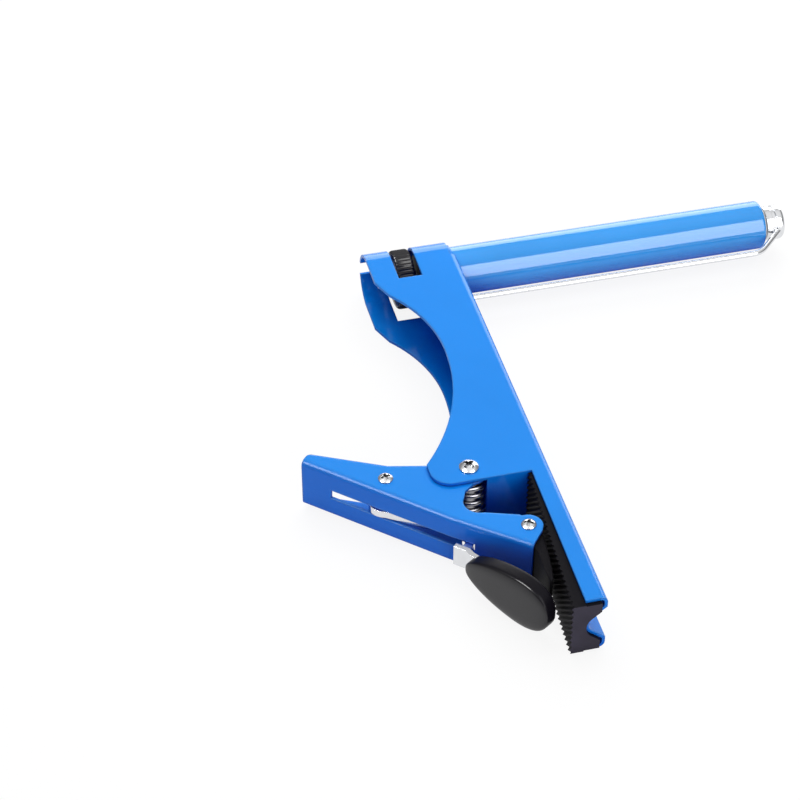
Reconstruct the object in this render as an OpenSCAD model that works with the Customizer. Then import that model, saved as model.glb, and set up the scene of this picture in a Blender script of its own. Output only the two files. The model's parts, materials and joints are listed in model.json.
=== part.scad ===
// Spring-clip net post clamp, lying on its far plate.
// X runs up the post, Y from the jaw to the crown of the body, Z from the far plate to the near plate.
// In the working frame the spine's outer face is X = 0 and the crown is Y = 0.
// The drawn model is moved so that its origin is the bottom centre of its box.

/* [Body] */
// Width across the two side plates
body_w = 25; // [22:0.5:32]
// Length from the crown to the jaw end
body_len = 220.7; // [200:0.1:265]
// Thickness of the pressed sheet
sheet_t = 1.2; // [0.8:0.1:1.6]
// Depth of the head from the spine to its open left edge
head_w = 37.5; // [35:0.5:45]
// Length of the straight left edge, from the crown
head_edge = 27.5; // [24:0.5:30]
// Depth of the plates at the waist of the hand recess
waist_w = 20.6; // [17:0.5:25]
// Distance from the crown to the waist
waist_y = 74.8; // [70:0.5:80]
// Radius of the recess above the waist
recess_r_top = 61; // [57:0.5:66]
// Radius of the recess below the waist
recess_r_low = 99; // [94:0.5:106]
// Distance from the crown to the throat where the table edge stops
throat_y = 151.5; // [148:0.5:156]
// Radius of the rounded lobe beside the pivot
lobe_r = 7.5; // [7:0.5:9]
// Distance from the spine to the lobe's centre
lobe_x = 37; // [36:0.5:39]
// Depth of the jaw arm at the throat
arm_w_throat = 7.4; // [6:0.1:9]
// Depth of the jaw arm at its end
arm_w_end = 8.3; // [7:0.1:10]
// Outer radius of the bends between plates and spine
bend_r = 2.5; // [2:0.1:3]
// Radius of the floor of the groove pressed along the spine
groove_r = 4.4; // [3.5:0.1:4.8]
// Distance of that radius's centre inside the spine's outer face
groove_in = 2.2; // [1.6:0.1:2.4]
// Slope of the groove's flanks away from its depth, in degrees
groove_flare = 40; // [30:1:42]
// Reach of the table stop from the throat towards the pivot
stop_w = 24.5; // [23:0.5:25]
// Length of the wheel window along the post
window_w = 10; // [8:0.25:11.5]
// Distance from the spine to the near side of the window
window_in = 17.2; // [16.5:0.1:20]
// Depth of the window from the crown in the near plate
window_depth = 27.3; // [26:0.1:29]
// Depth of the window from the crown in the far plate
window_depth_far = 25.6; // [25.5:0.1:29]
// Length of the notch in the open end of the rounded crown
crown_notch_l = 5; // [3:0.5:6]
// Width of that notch
crown_notch_w = 6; // [5:0.5:9]

/* [Post] */
// Outside diameter of the post tube
tube_d = 20.6; // [17:0.1:21]
// Wall of the post tube
tube_wall = 1.2; // [1:0.1:1.6]
// Length of tube beyond the spine
tube_out = 135.9; // [120:0.5:165]
// Length of tube inside the body
tube_in = 16; // [14:0.5:17]
// Diameter of the lift screw
lift_d = 5; // [4:0.5:7]
// Length of lift screw beyond the wheel's far side
lift_tail = 6.5; // [5:0.5:8.5]
// Height by which the head of the post can be raised
lift_travel = 8; // [4:1:10]
// Diameter of the top cap
cap_d = 14.8; // [14:0.2:16]
// Length of the top cap
cap_len = 8.5; // [7.5:0.1:12]
// Gap between the tube's end ring and the lowered cap
cap_gap = 0.8; // [0.6:0.1:1.5]
// Width of the groove for the net cord in the cap
cord_groove_w = 1.3; // [1:0.1:1.6]
// Depth of that groove
cord_groove_deep = 0.7; // [0.4:0.1:1]
// Distance of that groove from the cap's lower face
cord_groove_at = 3.2; // [2.5:0.1:4]
// Diameter of the net rod
rod_d = 2.4; // [2:0.1:3]
// Distance from the post axis to the net rod
rod_offset = 19.2; // [17:0.2:22]
// Bend radius of the net rod
rod_bend_r = 5; // [4:0.5:7]
// Distance of the net rod's bend from the cap
rod_lead = 9.3; // [8:0.1:10.5]

/* [Wheel] */
// Diameter of the thumbwheel
wheel_d = 24.8; // [22:0.1:24.9]
// Thickness of the thumbwheel
wheel_w = 8; // [6.5:0.1:9]
// Number of knurl ridges round the wheel
wheel_ridges = 44; // [30:2:60]
// Depth of the knurl
knurl_depth = 0.5; // [0.3:0.05:0.7]
// Diameter of the brass insert
insert_d = 11; // [9:0.5:13]

/* [Lever] */
// Distance from the spine to the pivot
pivot_in = 29.7; // [29:0.1:31]
// Height of the pivot above the throat
pivot_up = 7; // [6.8:0.1:8]
// Slope of the handle below the post direction, in degrees
handle_slope = 43.1; // [41:0.1:45]
// Slope of the jaw part below the post direction, in degrees
jaw_slope = 39; // [38:0.1:41]
// Length of the handle part from the kink to its end
handle_len = 63; // [55:0.5:76]
// Length of the jaw part from the kink to its end
jaw_len = 32.6; // [31:0.1:33]
// Depth of the handle's cheeks at its end
handle_depth = 4.9; // [4:0.1:7]
// Radius of the round corner at the handle's end
handle_round = 2; // [1:0.1:2.4]
// Radius of the cheek round the pivot
boss_r = 7; // [6.5:0.1:7.4]
// Radius of the round end at the jaw screw
tip_r = 5.3; // [4.5:0.1:6]
// Radius of the notch that shows the spring
notch_r = 6; // [5:0.1:6.5]
// Gap between a lever cheek and the plate beside it
lever_gap = 0.3; // [0.2:0.05:0.5]
// Width of the slot along the lever's web
slot_w = 4; // [3.6:0.1:5]
// Start of the slot from the handle's end
slot_start = 12.5; // [10:0.5:16]
// End of the slot beyond the kink
slot_end = 10; // [9:0.5:11]

/* [Lock lever] */
// Thickness of the lock lever's blade
blade_t = 3; // [2.4:0.1:3.2]
// Radius of the round cam on the rear screw
cam_r = 6.2; // [5.5:0.1:6.5]
// Width of the tab that carries the grip
tab_w = 9; // [8:0.5:13]
// Thickness of the tab
tab_t = 2; // [1.5:0.1:2.4]
// Slope of the tab and grip below the post direction, in degrees
grip_slope = 56.7; // [54:0.1:59]
// Length of the grip
grip_len = 40.5; // [34:0.5:43]
// Width of the grip at its widest
grip_w = 23; // [19:0.5:24]
// Width of the grip at its neck
grip_neck_w = 13; // [12:0.5:15]
// Thickness of the grip
grip_t = 7; // [6:0.1:7.5]

/* [Jaws] */
// Distance that the fixed pad stands out of the plates at the throat
pad_out_throat = 1.8; // [1.7:0.1:2.4]
// Distance that the fixed pad stands out of the plates at its end
pad_out_end = 5.6; // [3:0.1:6]
// Length of the pad beyond the jaw end
pad_over = 1.6; // [1:0.1:4]
// Pitch of the slanted ribs on the fixed pad
rib_pitch = 1.8; // [1.6:0.1:3]
// Depth of the slanted ribs
rib_depth = 0.8; // [0.5:0.1:0.9]
// Length of the moving pad along the jaw
shoe_len = 34; // [28:0.5:36]
// Gap between the two pads when closed
jaw_gap = 0.4; // [0.3:0.1:0.6]

/* [Fasteners] */
// Diameter of the pivot screw
pivot_screw_d = 5; // [4:0.5:5.5]
// Diameter of the pivot screw's head
pivot_head_d = 7.4; // [7:0.1:9]
// Outside diameter of the pivot bush
pivot_bush_d = 8; // [7:0.1:8.6]
// Diameter of the two cross screws
cross_screw_d = 4; // [3:0.5:4]
// Diameter of the cross screws' heads
cross_head_d = 5.6; // [5:0.1:7]
// Outside diameter of the sleeves on the cross screws
sleeve_d = 5.5; // [5:0.1:6]
// Width across flats of the cross screws' nuts
nut_af = 7; // [5.5:0.5:7]

/* [Spring] */
// Wire diameter of the torsion spring
wire_d = 2; // [1.4:0.1:2.2]
// Mean radius of the coil
coil_r = 6; // [5.4:0.1:6]
// Pitch of the coil
coil_pitch = 3.7; // [2.8:0.1:3.9]
// Number of whole turns
coil_turns = 4; // [3:1:4]

/* [Hidden] */
$fn = 64;
eps = 0.02;
over = 1;
far = 400;
running_gap = 0.05;
face_gap = 0.3;
thread_clear = 0.05;
seat_clear = 0.25;

mid_z = body_w / 2;
inner_w = body_w - 2 * sheet_t;
post_y = -body_w / 2;
crown_r = body_w / 2;
tube_r = tube_d / 2;
socket_r = crown_r - sheet_t - running_gap;
spine_start = 4;
spine_top = post_y - spine_start;
head_slant = [4, 10];
flank_run = [cos(groove_flare), sin(groove_flare)];
flank_side = [-sin(groove_flare), cos(groove_flare)];
groove_floor = groove_in + groove_r + sheet_t;
groove_steps = 10;
throat = -throat_y;
jaw_end = -body_len;
pad_end = jaw_end - pad_over;
pad_start = throat - face_gap;

// Post head, measured along X
ring_lip = 0.5;
ring_inset = 1.6;
cap_start = tube_out + ring_lip + cap_gap;
cap_end = cap_start + cap_len;
wheel_mid = -window_in - window_w / 2;
lift_start = wheel_mid - wheel_w / 2 - lift_tail;
rod_y = post_y - rod_offset;
rod_slope = 45;
cord_groove_x = cap_start + cord_groove_at;
cap_dome = 1.6;
lift_into_cap = cap_len / 2;

// Net rod: a straight run, a bend and a slanted end inside the cap
rod_sides = 16;
rod_bend_steps = 6;
rod_tail = 3;
rod_into_cap = 2.5;
bush_wall = 0.8;
bush_flange = 0.8;
rod_tail_x = -(groove_floor + lift_travel + rod_tail);
rod_bend_x = cap_start - rod_lead;
rod_end_y = post_y - cap_d / 2 + rod_into_cap;
rod_bend_end = [rod_bend_x, rod_y + rod_bend_r, mid_z] + rod_bend_r * [sin(rod_slope), -cos(rod_slope), 0];
rod_rise = rod_end_y - rod_bend_end[1];
rod_end = rod_bend_end + rod_rise * [1 / tan(rod_slope), 1, 0];
rod_path = concat(
    [[rod_tail_x, rod_y, mid_z]],
    [for (i = [0 : rod_bend_steps]) let (a = rod_slope * i / rod_bend_steps)
        [rod_bend_x + rod_bend_r * sin(a), rod_y + rod_bend_r * (1 - cos(a)), mid_z]],
    [rod_end]
);

// Lever, measured from the pivot
pivot = [-pivot_in, throat + pivot_up];
kink_from_pivot = [-13.4, -23.3];
kink = pivot + kink_from_pivot;
handle_dir = [cos(handle_slope), -sin(handle_slope)];
handle_in = [sin(handle_slope), cos(handle_slope)];
jaw_dir = [cos(jaw_slope), -sin(jaw_slope)];
handle_end = kink - handle_len * handle_dir;
jaw_tip = kink + jaw_len * jaw_dir;
rear_screw_at = pivot + [-31.1, 3];
jaw_screw_at = pivot + [13.4, -33.3];
notch_at = pivot + [-0.6, -17.1];
lever_z0 = sheet_t + lever_gap;
lever_w = inner_w - 2 * lever_gap;
lever_bend_r = 2.2;
bend_steps = 5;
cheek_rise = [-28.7, 9.6];
cheek_dip = [-14.4, 6.2];
cheek_shoulder = [-2.2, boss_r - 0.4];
tip_top = [-1.5, tip_r + 0.4];
tip_side = [tip_r, 0.2];
tip_low = [4.2, -3.6];
notch_top = [-0.6 * notch_r, 6.6];
notch_shoulder = [-notch_r, 0.6];
mouth_top = [boss_r + 4, 3 - boss_r];
mouth_side = [boss_r + 14, -boss_r - 12];
mouth_gap = 0.3;
nut_t = 1.1;
cross_at = [rear_screw_at, jaw_screw_at];
screw_end = 0.4;
web_half_turn = (handle_slope + jaw_slope) / 2;

// Lock lever and grip
cam_at = rear_screw_at + [-0.6, -1.45];
grip_dir = [cos(grip_slope), -sin(grip_slope)];
grip_in = [sin(grip_slope), cos(grip_slope)];
function in_web(p) = kink + p[0] * handle_dir + p[1] * handle_in;
tab_at = kink + [4.3, -12.3];
tab_lead = 1;
tab_into_grip = 15;
// Outer end of the tab and its knee: distance along the handle from the kink, and height inside its web
tab_start = [4.8, -5.1];
tab_knee = [10.2, -5.1];
blade_in_tab = [5.8, 9.6];
tab_path = [in_web(tab_start), in_web(tab_knee), tab_at + tab_lead * grip_dir,
    tab_at + tab_into_grip * grip_dir];
blade_half = 0.9;
// Arched arm of the blade: distance along the handle from the kink, and height inside its web
arm_out = [[-8, 9.2], [6.6, 5.2], [9.4, 1.6]];
arm_in = [[6.4, 0.2], [4.6, 3.2], [-5, 4.4], [-11, 2.4]];
grip_back = 2;
grip_edge = 1.6;
grip_wide_from = 0.62;

// Fixed pad's face, as X at a given Y
face_x0 = -(arm_w_throat + pad_out_throat);
face_x1 = -(arm_w_end + pad_out_end);
function face_x(y) = face_x0 + (face_x1 - face_x0) * (pad_start - y) / (pad_start - pad_end);
face_tilt = atan((face_x0 - face_x1) / (pad_start - pad_end));
face_len = (pad_start - pad_end) / cos(face_tilt);

// Moving pad, measured from the jaw screw and the lever's tip
shoe_above = 7.8;
shoe_crown = 1.6;
shoe_top = jaw_screw_at[1] + shoe_above;
shoe_tail = [3, 1.5];
shoe_off_web = [1.6, 1.2];
shoe_heel = [-6.6, -2.4];
shoe_back = [-6.6, 3.6];
shoe_shoulder = [-2, 7];

// Pan heads: height, rim, flat crown and cross recess as shares of the head
head_rise = 0.28;
rim_share = 0.4;
slot_floor = 0.48;
crown_share = 0.34;
slot_share = [0.58, 0.14];
slot_turns = [20, 110];
pivot_end = 0.1;

// Box of the whole part, whose bottom centre is the origin
box_x0 = handle_end[0];
box_x1 = cap_end;
box_y0 = pad_end;
box_y1 = 0;
origin_at = [(box_x0 + box_x1) / 2, (box_y0 + box_y1) / 2, 0];

// Torsion spring: a leg on the lever's web, the coil, and a leg on the spine
wire_r = wire_d / 2;
ring_sides = 6;
rings_per_turn = 8;
coil_start_angle = -90;
coil_part_turn = 30;
coil_sweep = 360 * coil_turns + coil_part_turn;
coil_len = coil_pitch * coil_sweep / 360;
coil_off_mid = -0.5042;
coil_z0 = mid_z + coil_len / 2 + coil_off_mid;
coil_rings = ceil(coil_sweep / 360 * rings_per_turn);
coil_end_angle = coil_start_angle + coil_sweep;
coil_z1 = coil_z0 - coil_len;
leg_seat = sheet_t + wire_r + seat_clear;
leg_web_y = pivot[1] - coil_r;
leg_web_along = (handle_end[1] - leg_web_y + leg_seat * handle_in[1]) / sin(handle_slope);
leg_web_x = handle_end[0] + leg_web_along * handle_dir[0] + leg_seat * handle_in[0];
coil_exit = pivot + coil_r * [cos(coil_end_angle), sin(coil_end_angle)];
exit_dir = [-sin(coil_end_angle), cos(coil_end_angle)];
flank_root = [-groove_in, 0] + (groove_r + sheet_t) * flank_side;
flank_x = flank_root[0] + (abs(coil_z1 - mid_z) - flank_root[1]) / tan(groove_flare);
leg_spine_x = min(-leg_seat, flank_x - (wire_r + seat_clear) / sin(groove_flare));
leg_spine_len = (leg_spine_x - coil_exit[0]) / exit_dir[0];

function helix(a) = [
    pivot[0] + coil_r * cos(coil_start_angle + a),
    pivot[1] + coil_r * sin(coil_start_angle + a),
    coil_z0 - coil_pitch * a / 360
];
spring_path = concat(
    [[leg_web_x, leg_web_y, coil_z0], [leg_web_x + wire_d, leg_web_y, coil_z0]],
    [for (i = [0 : coil_rings]) helix(coil_sweep * i / coil_rings)],
    [for (d = [leg_spine_len - wire_d, leg_spine_len])
        [coil_exit[0] + d * exit_dir[0], coil_exit[1] + d * exit_dir[1], coil_z1]]
);
// Least gap between turns: centre distances of path points half a turn or more apart, less the wire
half_turn = rings_per_turn / 2;
spring_gap = min([for (i = [0 : len(spring_path) - 1], j = [i + half_turn : 1 : len(spring_path) - 1])
    norm(spring_path[i] - spring_path[j])]) - wire_d;
echo(spring_least_gap_to_itself = spring_gap);
echo(origin_in_working_frame = origin_at);

blue = "#2f8fe8";
black = "#202022";
chrome = "#c9ccd1";
steel = "#8d9096";
brass = "#b5954a";
pale = "#e6e6e4";

// Moves the working frame to the part's own origin
module placed() {
    translate(-origin_at) children();
}

// A cylinder along X on the post axis, from x0 to x1
module post_rod(r, x0, x1) {
    translate([x0, post_y, mid_z]) rotate([0, 90, 0]) cylinder(h = x1 - x0, r = r);
}

// A cylinder along X at a given height above the jaw side, from x0 to x1
module x_rod(r, x0, x1, y) {
    translate([x0, y, mid_z]) rotate([0, 90, 0]) cylinder(h = x1 - x0, r = r);
}

// A cylinder along Z at a point of the side plane
module z_rod(r, at, z0, z1) {
    translate([at[0], at[1], z0]) cylinder(h = z1 - z0, r = r);
}

// Outline of one side plate
module plate_outline() {
    difference() {
        union() {
            translate([-head_w, -waist_y]) square([head_w, waist_y + over]);
            translate([-lobe_x - lobe_r, throat + lobe_r])
                square([lobe_x + lobe_r, throat_y - lobe_r - waist_y + eps]);
            translate([-lobe_x, throat]) square([lobe_x, lobe_r + eps]);
            translate([-lobe_x, throat + lobe_r]) circle(r = lobe_r);
            polygon([[0, throat + over], [-arm_w_throat, throat + over], [-arm_w_throat, throat],
                [-arm_w_end, jaw_end], [0, jaw_end]]);
        }
        intersection() {
            translate([-waist_w - recess_r_top, -waist_y]) circle(r = recess_r_top, $fn = 128);
            translate([-far, -waist_y - eps]) square([far, far]);
        }
        intersection() {
            translate([-waist_w - recess_r_low, -waist_y]) circle(r = recess_r_low, $fn = 128);
            translate([-far, -waist_y - far]) square([far, far]);
        }
        translate([-head_w, -head_edge])
            polygon([[-over, 0], [0, 0], [head_slant[0], -head_slant[1]], [-over, -head_slant[1]]]);
    }
}

// Points of an arc in equal steps, from angle a0 to a1
function arc(c, r, a0, a1, steps = bend_steps) = [for (i = [0 : steps])
    c + r * [cos(a0 + (a1 - a0) * i / steps), sin(a0 + (a1 - a0) * i / steps)]];

// A bent strip of even thickness along a path of points
module strip(path, t) {
    last = len(path) - 1;
    way = [for (i = [0 : last - 1]) (path[i + 1] - path[i]) / norm(path[i + 1] - path[i])];
    side = [for (i = [0 : last]) let (a = way[max(i - 1, 0)], b = way[min(i, last - 1)])
        t * [-a[1] - b[1], a[0] + b[0]] / ((a + b) * (a + b))];
    polygon(concat([for (i = [0 : last]) path[i] + side[i]], [for (i = [last : -1 : 0]) path[i] - side[i]]));
}

// Groove of the spine in X and Z, grown by a thickness: a round floor and two flared flanks
module groove_outline(grow) {
    r = groove_r + grow;
    root = r * flank_side;
    mouth = root + (groove_in - root[0] + over) / flank_run[0] * flank_run;
    translate([-groove_in, mid_z])
        polygon(concat([mouth], arc([0, 0], r, 90 + groove_flare, 270 - groove_flare, groove_steps),
            [[mouth[0], -mouth[1]]]));
}

// Section of the sheet across the spine, in X and Z
module spine_section() {
    difference() {
        union() {
            difference() {
                translate([-bend_r, 0]) square([bend_r, body_w]);
                translate([-bend_r - eps, sheet_t]) square([bend_r - sheet_t + eps, inner_w]);
                for (z = [0, body_w - bend_r])
                    translate([-bend_r, z]) square([bend_r + over, bend_r]);
            }
            for (side = [0, 1])
                translate([-bend_r, side * (body_w - 2 * bend_r) + bend_r])
                    intersection() {
                        difference() {
                            circle(r = bend_r);
                            circle(r = bend_r - sheet_t);
                        }
                        translate([0, side * bend_r - bend_r]) square([bend_r, bend_r]);
                    }
            intersection() {
                groove_outline(sheet_t);
                translate([-far, 0]) square([far, body_w]);
            }
        }
        groove_outline(0);
    }
}

// Both plates and the rounded crown between them, as one bent sheet
module bent_sheet() {
    rotate([90, 0, 90])
        translate([0, 0, -far / 2])
            linear_extrude(far / 2 - bend_r + eps)
                difference() {
                    union() {
                        translate([-far, 0]) square([far + post_y, body_w]);
                        translate([post_y, mid_z]) circle(r = crown_r);
                    }
                    translate([-far - over, sheet_t]) square([far + post_y + over, inner_w]);
                    translate([post_y, mid_z]) circle(r = crown_r - sheet_t);
                }
}

module body_shell() {
    color(blue) difference() {
        union() {
            intersection() {
                bent_sheet();
                translate([0, 0, -over]) linear_extrude(body_w + 2 * over) plate_outline();
            }
            difference() {
                translate([0, spine_top, 0]) rotate([90, 0, 0])
                    linear_extrude(spine_top - jaw_end) spine_section();
                post_rod(socket_r + running_gap, -groove_floor - over, over);
            }
            translate([-stop_w, throat, sheet_t - eps])
                cube([stop_w - arm_w_throat, sheet_t, inner_w + 2 * eps]);
        }
        translate([-window_in - window_w, -window_depth, mid_z])
            cube([window_w, window_depth + over, body_w]);
        translate([-window_in - window_w, -window_depth_far, -over])
            cube([window_w, window_depth_far + over, mid_z + 2 * over]);
        translate([-head_w - over, post_y, mid_z - crown_notch_w / 2])
            cube([crown_notch_l + over, body_w, crown_notch_w]);
        z_rod(pivot_screw_d / 2 + running_gap, pivot, mid_z, body_w + over);
        z_rod(pivot_bush_d / 2, pivot, -over, mid_z);
        x_rod(rod_d / 2 + bush_wall, -groove_floor - over, 0, rod_y);
    }
}

// Wedge of the fixed pad in the side plane, with its ribbed face on the left
module pad_outline(back) {
    polygon([[back - arm_w_throat, pad_start], [face_x0, pad_start], [face_x1, pad_end],
        [back - arm_w_end, pad_end]]);
}

// Slanted grooves cut into the fixed pad's face: one sawtooth section, run across at half a right angle
module pad_grooves() {
    first = -ceil(body_w / sqrt(2) / rib_pitch) - 1;
    last = ceil(face_len / sqrt(2) / rib_pitch) + 1;
    clear = 2;
    skim = 0.05;
    translate([face_x0, pad_start, 0])
        rotate([0, 0, -90 - face_tilt]) rotate([180, 0, 0]) rotate([0, -45, 0])
            translate([0, 0, -far / 4]) linear_extrude(far / 2)
                polygon(concat([[first * rib_pitch, clear]],
                    [for (i = [first : last], k = [0, 1]) [(i + k / 2) * rib_pitch, -skim - k * rib_depth]],
                    [[(last + 1) * rib_pitch, clear]]));
}

module fixed_jaw_pad() {
    side_gap = 0.1;
    side_step = 0.9;
    stem_deep = arm_w_end + pad_out_throat / 4;
    color(black) difference() {
        union() {
            translate([0, 0, side_step]) linear_extrude(body_w - 2 * side_step) pad_outline(-running_gap);
            translate([-stem_deep, pad_end, sheet_t + side_gap])
                cube([stem_deep - bend_r, pad_start - pad_end, inner_w - 2 * side_gap]);
        }
        translate([0, pad_start + over, 0]) rotate([90, 0, 0])
            linear_extrude(pad_start - pad_end + 2 * over) groove_outline(sheet_t + side_gap);
        pad_grooves();
    }
}

module post_tube() {
    edge = [1, 0.7];
    color(blue) difference() {
        union() {
            post_rod(tube_r, -tube_in, tube_out - edge[0]);
            translate([tube_out - edge[0], post_y, mid_z]) rotate([0, 90, 0])
                cylinder(h = edge[0], r1 = tube_r, r2 = tube_r - edge[1]);
        }
        post_rod(tube_r - tube_wall, -tube_in - over, tube_out + over);
    }
}

module post_socket() {
    color(blue) difference() {
        post_rod(socket_r, -tube_in, -sheet_t);
        post_rod(tube_r, -tube_in - over, over);
    }
}

// A plug inside the tube that guides the lift screw
module tube_plug(x0, x1) {
    difference() {
        children();
        post_rod(lift_d / 2 + running_gap, x0 - over, x1 + over);
    }
}

module post_lower_guide() {
    guide_len = 8;
    color(black) tube_plug(-tube_in, guide_len - tube_in)
        post_rod(tube_r - tube_wall, -tube_in, guide_len - tube_in);
}

module post_end_ring() {
    plug_len = 9;
    color(pale) tube_plug(tube_out - plug_len, tube_out + ring_lip)
        union() {
            post_rod(tube_r - tube_wall, tube_out - plug_len, tube_out + eps);
            post_rod(tube_r - ring_inset, tube_out, tube_out + ring_lip);
        }
}

module rod_bush() {
    floor_x = -groove_floor;
    color(black) difference() {
        union() {
            x_rod(rod_d / 2 + bush_wall, floor_x - bush_flange, floor_x + sheet_t, rod_y);
            x_rod(rod_d / 2 + bush_wall + bush_flange, floor_x - bush_flange, floor_x, rod_y);
        }
        x_rod(rod_d / 2 + running_gap, floor_x - bush_flange - over, over, rod_y);
    }
}

// Pan-head screw along Z: a low domed head with a cross recess above the plate, and its shank
module pan_screw(at, d, head_d, top_z, bottom_z) {
    head_h = head_d * head_rise;
    rim_h = head_h * rim_share;
    slot = [head_d * slot_share[0], head_d * slot_share[1], head_h];
    color(chrome) difference() {
        union() {
            z_rod(d / 2, at, bottom_z, top_z + eps);
            z_rod(head_d / 2, at, top_z, top_z + rim_h);
            translate([at[0], at[1], top_z + rim_h])
                cylinder(h = head_h - rim_h, r1 = head_d / 2, r2 = head_d * crown_share);
        }
        for (turn = slot_turns)
            translate([at[0], at[1], top_z + head_h * slot_floor]) rotate([0, 0, turn])
                translate([-slot[0] / 2, -slot[1] / 2, 0]) cube(slot);
    }
}

// Plain sleeve along Z
module sleeve(at, r_out, r_in, z0, z1) {
    color(steel) difference() {
        z_rod(r_out, at, z0, z1);
        z_rod(r_in, at, z0 - over, z1 + over);
    }
}

module pivot_screw() {
    pan_screw(pivot, pivot_screw_d, pivot_head_d, body_w, pivot_end);
}

module pivot_bush() {
    sleeve(pivot, pivot_bush_d / 2, pivot_screw_d / 2, sheet_t, body_w - sheet_t);
}

module pivot_nut() {
    sleeve(pivot, pivot_bush_d / 2, pivot_screw_d / 2, 0, sheet_t);
}

// One ring of a bent wire, square to its path at point i
function ring(path, i, r, sides) =
    let (
        a = path[max(i - 1, 0)],
        b = path[min(i + 1, len(path) - 1)],
        t = (b - a) / norm(b - a),
        side = cross(t, [0, 0, 1]),
        u = side / norm(side),
        v = cross(t, u)
    )
    [for (k = [0 : sides - 1]) path[i] + r * (cos(360 * k / sides) * u + sin(360 * k / sides) * v)];

// A wire of one radius along a path, closed at both ends
module wire(path, r, sides) {
    last = len(path) - 1;
    points = [for (i = [0 : last], p = ring(path, i, r, sides)) p];
    walls = [for (i = [0 : last - 1], k = [0 : sides - 1], half = [0, 1])
        let (
            p00 = i * sides + k,
            p01 = i * sides + (k + 1) % sides,
            p10 = p00 + sides,
            p11 = p01 + sides
        )
        half == 0 ? [p00, p10, p11] : [p00, p11, p01]];
    caps = [for (k = [1 : sides - 2], end = [0, 1])
        end == 0 ? [0, k, k + 1] : [last * sides, last * sides + k + 1, last * sides + k]];
    polyhedron(points = points, faces = concat(walls, caps));
}

module torsion_spring() {
    color(steel) wire(spring_path, wire_r, ring_sides);
}

// Knurled outline: the radius rises and falls once per ridge
module knurl_outline() {
    steps = wheel_ridges * 2;
    polygon([for (i = [0 : steps - 1])
        (wheel_d / 2 - (i % 2) * knurl_depth) * [cos(360 * i / steps), sin(360 * i / steps)]]);
}

module thumbwheel() {
    color(black) difference() {
        translate([wheel_mid - wheel_w / 2, post_y, mid_z]) rotate([0, 90, 0])
            linear_extrude(wheel_w) knurl_outline();
        post_rod(insert_d / 2, wheel_mid - wheel_w, wheel_mid + wheel_w);
    }
}

module wheel_insert() {
    color(brass) difference() {
        post_rod(insert_d / 2, wheel_mid - wheel_w / 2, wheel_mid + wheel_w / 2);
        post_rod(lift_d / 2 + thread_clear, wheel_mid - wheel_w, wheel_mid + wheel_w);
    }
}

module lift_screw() {
    color(steel) post_rod(lift_d / 2, lift_start, cap_start + lift_into_cap);
}

module net_rod() {
    color(chrome) wire(rod_path, rod_d / 2, rod_sides);
}

module top_cap() {
    color(chrome) difference() {
        union() {
            post_rod(cap_d / 2, cap_start, cap_end - cap_dome);
            translate([cap_end - cap_dome, post_y, mid_z]) rotate([0, 90, 0])
                cylinder(h = cap_dome, r1 = cap_d / 2, r2 = cap_d / 2 - cap_dome);
        }
        post_rod(lift_d / 2, cap_start - over, cap_start + lift_into_cap);
        difference() {
            post_rod(cap_d, cord_groove_x, cord_groove_x + cord_groove_w);
            post_rod(cap_d / 2 - cord_groove_deep, cap_start - over, cap_end + over);
        }
        translate(rod_end) rotate([0, -90, rod_slope]) cylinder(h = cap_d, r = rod_d / 2 + running_gap);
    }
}

// Outline of a lever cheek
module cheek_outline() {
    back = handle_end + handle_depth * handle_in;
    rise = pivot + cheek_rise - back;
    top_angle = atan2(rise[1], rise[0]) + 90;
    end_angle = 180 - handle_slope;
    half = (end_angle - top_angle) / 2;
    centre = back - handle_round / cos(half) * [cos(top_angle + half), sin(top_angle + half)];
    difference() {
        union() {
            polygon(concat([handle_end], arc(centre, handle_round, end_angle, top_angle),
                [pivot + cheek_rise, pivot + cheek_dip, pivot + cheek_shoulder, pivot,
                jaw_screw_at + tip_top, jaw_screw_at + tip_side, jaw_screw_at + tip_low, jaw_tip, kink]));
            translate(jaw_screw_at) circle(r = tip_r);
        }
        translate(notch_at) circle(r = notch_r);
        polygon([notch_at + notch_shoulder, notch_at + notch_top, pivot - [0, boss_r + mouth_gap],
            pivot + mouth_top, pivot + mouth_side, jaw_screw_at + [0, tip_r + 2 * mouth_gap],
            jaw_screw_at + [tip_top[0], tip_r + 2 * mouth_gap], notch_at - [0, notch_r], notch_at]);
    }
    translate(pivot) circle(r = boss_r);
}

// Channel section of the lever: web at the bottom, two cheeks, bends pressed in narrow flats
module channel_section(height) {
    inner_r = lever_bend_r - sheet_t;
    low = [lever_bend_r, lever_bend_r];
    high = [lever_bend_r, lever_w - lever_bend_r];
    polygon(concat([[height, 0]], arc(low, lever_bend_r, -90, -180), arc(high, lever_bend_r, 180, 90),
        [[height, lever_w], [height, lever_w - sheet_t]], arc(high, inner_r, 90, 180),
        arc(low, inner_r, 180, 270), [[height, sheet_t]]));
}

// One straight length of channel, running both ways from the kink at a slope below X
module channel(slope) {
    height = 60;
    reach = 100;
    translate([kink[0], kink[1], lever_z0]) rotate([0, 0, -slope]) translate([-reach, 0, 0])
        rotate([90, 0, 90]) linear_extrude(2 * reach) channel_section(height);
}

// The half of the side plane on one side of the line that halves the kink
module kink_half(side) {
    translate(kink) rotate(-web_half_turn)
        translate([side > 0 ? 0 : -far, -far / 2]) square([far, far]);
}

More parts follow.
